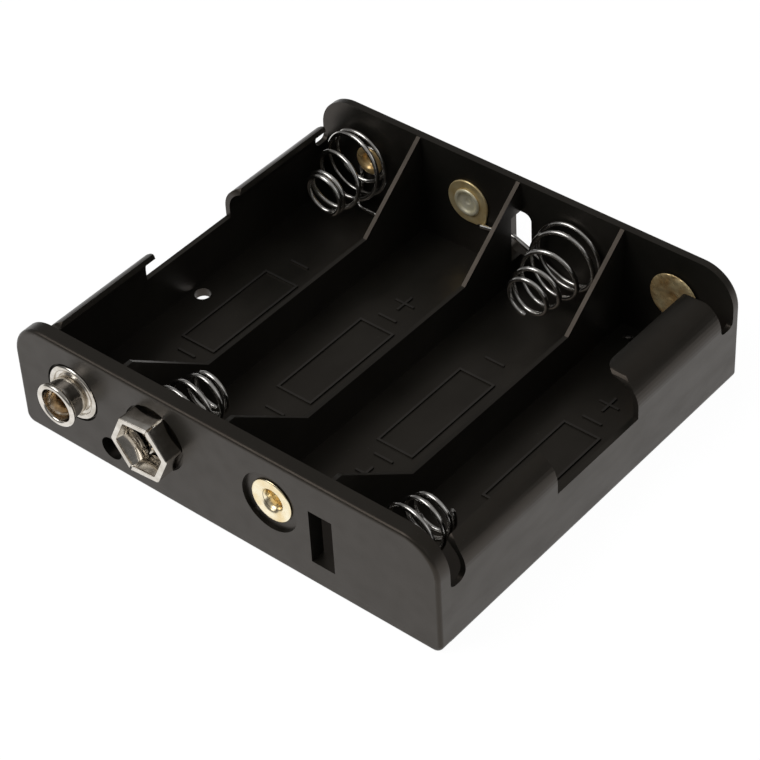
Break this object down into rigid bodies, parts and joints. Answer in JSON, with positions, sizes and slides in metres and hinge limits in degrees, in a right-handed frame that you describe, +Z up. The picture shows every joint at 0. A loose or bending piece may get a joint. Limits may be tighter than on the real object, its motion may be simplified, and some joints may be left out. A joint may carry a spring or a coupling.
{
  "type": "battery holder",
  "caption": "Black moulded open-top holder for a row of cylindrical cells, with riveted contacts, conical springs and a stud-and-socket snap pair on its front wall.",
  "frame": {"origin": "centre of the flat underside of the moulding", "axes": "+X across the row of cells, +Y from the snap wall to the back wall, +Z up out of the open top"},
  "size_m": [0.0624, 0.0588, 0.0155],
  "materials": {
    "moulding": "fine satin",
    "nickel_plate": "bright nickel plate",
    "spring_wire": "nickel-plated spring wire",
    "brass": "bright"
  },
  "bodies": {
    "root": {"holder_body": "moulding", "stud_snap": "nickel_plate", "stud_rivet": "nickel_plate", "hex_snap": "nickel_plate", "hex_rivet": "nickel_plate", "eyelet_one": "brass", "tab_two": "brass", "eyelet_two": "brass", "eyelet_three": "brass", "rivet_four": "brass", "spring_one": "spring_wire", "spring_two": "spring_wire", "spring_three": "spring_wire", "spring_four": "spring_wire"}
  },
  "joints": []
}
